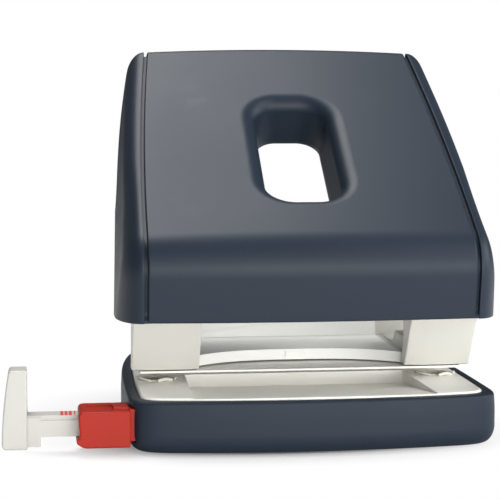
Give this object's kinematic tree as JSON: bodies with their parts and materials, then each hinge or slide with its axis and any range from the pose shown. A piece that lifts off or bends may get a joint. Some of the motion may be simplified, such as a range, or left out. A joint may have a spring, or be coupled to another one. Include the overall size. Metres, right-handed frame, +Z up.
{
  "type": "two hole punch",
  "caption": "Desk two hole punch with a sloping lever hood, grip hole, chip tray base and a sliding paper guide.",
  "frame": {"origin": "centre of the grip mat's underside, on the table", "axes": "+Z up, paper goes in along +Y from the front, +X to the right as seen from the front"},
  "size_m": [0.1352, 0.1025, 0.1087],
  "materials": {
    "slate_plastic": "satin",
    "slate_satin": "satin",
    "ivory_enamel": "satin enamel",
    "red_plastic": "satin",
    "bright_steel": "brushed",
    "black_rubber": "matte"
  },
  "bodies": {
    "tray": {"chip_tray": "slate_plastic", "grip_mat": "black_rubber", "guide_sleeve": "red_plastic", "tray_hinge_pin_left": "bright_steel", "tray_hinge_pin_right": "bright_steel"},
    "chassis": {"base_plate": "ivory_enamel", "paper_stop": "ivory_enamel", "stripper_plate": "ivory_enamel", "punch_frame": "ivory_enamel", "lever_axle": "bright_steel", "die_left": "bright_steel", "die_right": "bright_steel", "frame_screw_front_left": "bright_steel", "frame_screw_front_right": "bright_steel", "frame_screw_rear_left": "bright_steel", "frame_screw_rear_right": "bright_steel", "axle_clip_left": "bright_steel", "axle_clip_right": "bright_steel", "return_spring_left": "bright_steel", "return_spring_right": "bright_steel"},
    "lever": {"lever_bracket": "bright_steel", "press_bar": "bright_steel", "lever_cover": "slate_satin", "side_cap_left": "slate_satin", "side_cap_right": "slate_satin", "cover_screw_left": "bright_steel", "cover_screw_right": "bright_steel"},
    "pin_left": {"punch_pin_left": "bright_steel"},
    "pin_right": {"punch_pin_right": "bright_steel"},
    "guide": {"paper_guide": "ivory_enamel"}
  },
  "joints": [
    {"name": "tray_hinge", "type": "hinge", "parent": "tray", "child": "chassis", "pos_m": [0, 0.047, 0.0136], "axis": [-1, 0, 0], "range_deg": [0, 65]},
    {"name": "lever_hinge", "type": "hinge", "parent": "chassis", "child": "lever", "pos_m": [0, -0.027, 0.0434], "axis": [-1, 0, 0], "range_deg": [0, 28], "stiffness_Nm_per_rad": 0.3, "springref_deg": -22.92},
    {"name": "pin_slide_left", "type": "slide", "parent": "chassis", "child": "pin_left", "axis": [0, 0, -1], "range_m": [0, 0.0074], "deforming": ["return_spring_left"]},
    {"name": "pin_slide_right", "type": "slide", "parent": "chassis", "child": "pin_right", "axis": [0, 0, -1], "range_m": [0, 0.0074], "deforming": ["return_spring_right"]},
    {"name": "guide_slide", "type": "slide", "parent": "tray", "child": "guide", "axis": [1, 0, 0], "range_m": [-0.0724, 0.0089]}
  ],
  "couplings": [
    {"joint": "pin_slide_left", "follows": "lever_hinge", "m_per_rad": 0.015},
    {"joint": "pin_slide_right", "follows": "lever_hinge", "m_per_rad": 0.015}
  ]
}
